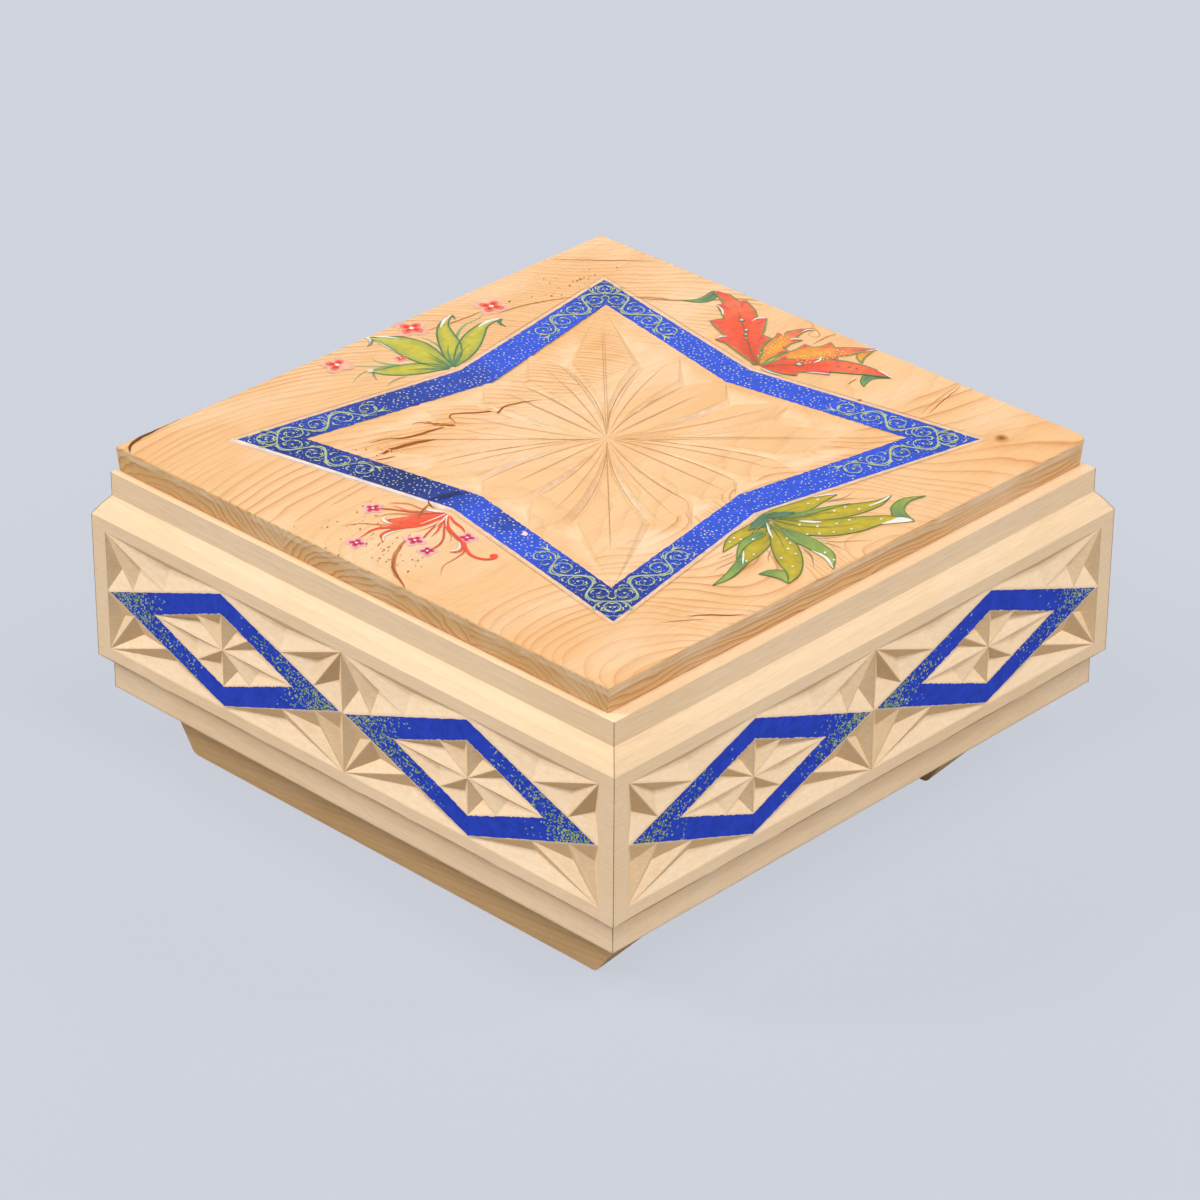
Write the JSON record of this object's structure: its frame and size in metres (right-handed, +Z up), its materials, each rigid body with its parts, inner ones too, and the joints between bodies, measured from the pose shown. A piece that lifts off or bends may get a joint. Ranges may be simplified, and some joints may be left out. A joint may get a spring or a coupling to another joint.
{
  "type": "wooden jewelry box",
  "caption": "Square wooden jewelry box with chip-carved mitred sides, a hinged lid with a carved rosette in a painted star, and runners.",
  "frame": {"origin": "middle of the footprint, on the floor under the runners", "axes": "+Z up, -Y the front, opposite the hinges; +X to the right as seen from the front"},
  "size_m": [0.3, 0.3, 0.1432],
  "materials": {
    "side_wood": "bare pale linden, matt",
    "lid_wood": "clear-coated pine with warm grain, satin",
    "base_wood": "bare tan softwood, matt",
    "hinge_brass": "plain brass, lightly tarnished",
    "paint": "thin brushed gouache in blue, pale yellow-green, green, red and pink"
  },
  "bodies": {
    "case": {"wall_front": "side_wood", "wall_right": "side_wood", "wall_back": "side_wood", "wall_left": "side_wood", "bottom_panel": "base_wood", "runner_left": "base_wood", "runner_right": "base_wood", "hinge_left_box_leaf": "hinge_brass", "hinge_left_pin": "hinge_brass", "hinge_right_box_leaf": "hinge_brass", "hinge_right_pin": "hinge_brass", "hinge_screws_box": "hinge_brass"},
    "lid": {"lid_board_front": "lid_wood", "lid_board_middle": "lid_wood", "lid_board_back": "lid_wood", "hinge_left_lid_leaf": "hinge_brass", "hinge_right_lid_leaf": "hinge_brass", "hinge_screws_lid": "hinge_brass"}
  },
  "joints": [
    {"name": "lid_hinge", "type": "hinge", "parent": "case", "child": "lid", "pos_m": [0, 0.1456, 0.13195], "axis": [-1, 0, 0], "range_deg": [0, 100]}
  ]
}
